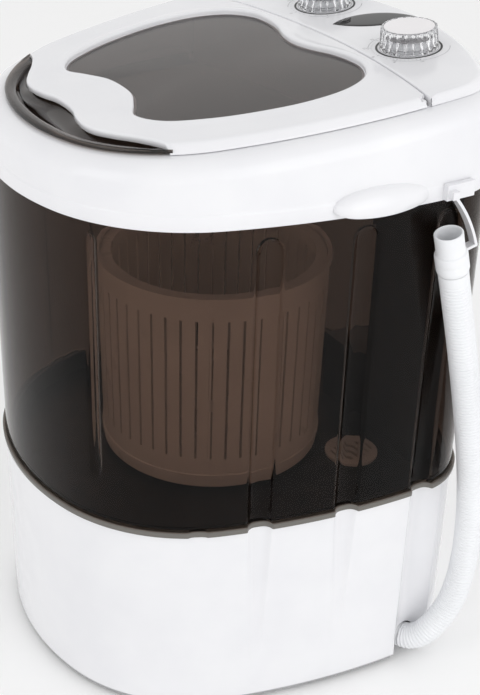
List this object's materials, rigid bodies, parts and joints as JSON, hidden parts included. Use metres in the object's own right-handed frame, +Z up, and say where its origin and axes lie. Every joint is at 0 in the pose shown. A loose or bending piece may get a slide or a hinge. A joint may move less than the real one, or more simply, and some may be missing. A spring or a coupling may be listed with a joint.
{
  "type": "top load washing machine",
  "caption": "Compact top-load washing machine: white base and top ring, smoked see-through tub, lift-out spin basket, hinged lid with window, clear dials and a side drain hose.",
  "frame": {"origin": "on the floor, under the middle of the housing's plan outline", "axes": "+Z up, -Y the front of the machine, +X the side with the drain hose"},
  "size_m": [0.4007, 0.3828, 0.5449],
  "materials": {
    "white_gloss": "glossy white moulded plastic",
    "white_satin": "satin white moulded plastic",
    "smoked": "smoked clear plastic",
    "clear": "clear plastic",
    "black_plastic": "black moulded plastic",
    "basket_white": "white moulded plastic",
    "hose_white": "soft white corrugated plastic",
    "rubber": "rubber",
    "steel": "plain steel",
    "zinc": "zinc-plated sheet",
    "grey_plastic": "grey moulded plastic",
    "alu": "cast aluminium"
  },
  "bodies": {
    "housing": {"base_housing": "white_gloss", "base_plate": "grey_plastic", "rubber_feet": "rubber", "base_screws": "steel", "cord_gland": "black_plastic", "outer_tub": "smoked", "tub_floor": "black_plastic", "tub_gasket": "rubber", "drain_cover": "basket_white", "rear_duct": "black_plastic", "top_ring": "white_gloss", "right_hand_grip": "white_gloss", "left_hand_grip": "white_gloss", "control_tray": "white_satin", "control_panel": "white_gloss", "panel_lens": "smoked", "wash_timer": "grey_plastic", "mode_switch": "grey_plastic", "wash_dial_ring": "black_plastic", "mode_dial_ring": "black_plastic", "lid_hinge_pins": "steel", "lid_hinge_lugs": "white_satin", "lid_bumpers": "rubber", "bearing_housing": "alu", "shaft_bearings": "steel", "shaft_seal": "rubber", "motor": "zinc", "motor_bracket": "zinc", "drive_belt": "rubber", "motor_capacitor": "grey_plastic", "capacitor_clip": "zinc", "terminal_block": "grey_plastic", "bearing_screws": "steel", "drain_elbow": "grey_plastic", "drain_hose": "hose_white", "hose_cuff": "hose_white", "hose_hook": "white_gloss"},
    "lid": {"lid_frame": "white_gloss", "lid_window": "smoked", "lid_finger_scoop": "smoked"},
    "wash_dial": {"wash_spindle": "steel", "wash_knob": "clear"},
    "mode_dial": {"mode_spindle": "steel", "mode_knob": "clear"},
    "spinner": {"drive_shaft": "steel", "drive_pulley": "alu", "pulsator": "basket_white"},
    "basket": {"spin_basket": "basket_white", "balance_ring": "basket_white"},
    "rotor": {"motor_shaft": "steel", "motor_pulley": "alu", "motor_fan": "grey_plastic"}
  },
  "joints": [
    {"name": "lid_hinge", "type": "hinge", "parent": "housing", "child": "lid", "pos_m": [0, 0.06992, 0.51658], "axis": [-1, 0, 0], "range_deg": [0, 95]},
    {"name": "wash_dial_turn", "type": "hinge", "parent": "housing", "child": "wash_dial", "pos_m": [0.0724, 0.12427, 0.52516], "axis": [0, -0.0892, 0.996], "range_deg": [-300, 0]},
    {"name": "mode_dial_turn", "type": "hinge", "parent": "housing", "child": "mode_dial", "pos_m": [-0.057, 0.13384, 0.52602], "axis": [0, -0.0892, 0.996], "range_deg": [-60, 60]},
    {"name": "spin", "type": "hinge", "parent": "housing", "child": "spinner", "pos_m": [0, -0.006, 0.17], "axis": [0, 0, 1], "continuous": true},
    {"name": "basket_lift", "type": "slide", "parent": "spinner", "child": "basket", "axis": [0, 0, 1], "range_m": [0, 0.12]},
    {"name": "rotor_spin", "type": "hinge", "parent": "housing", "child": "rotor", "pos_m": [-0.105, 0.029, 0.1], "axis": [0, 0, 1], "continuous": true}
  ],
  "couplings": [
    {"joint": "rotor_spin", "follows": "spin", "ratio": 4.06}
  ]
}
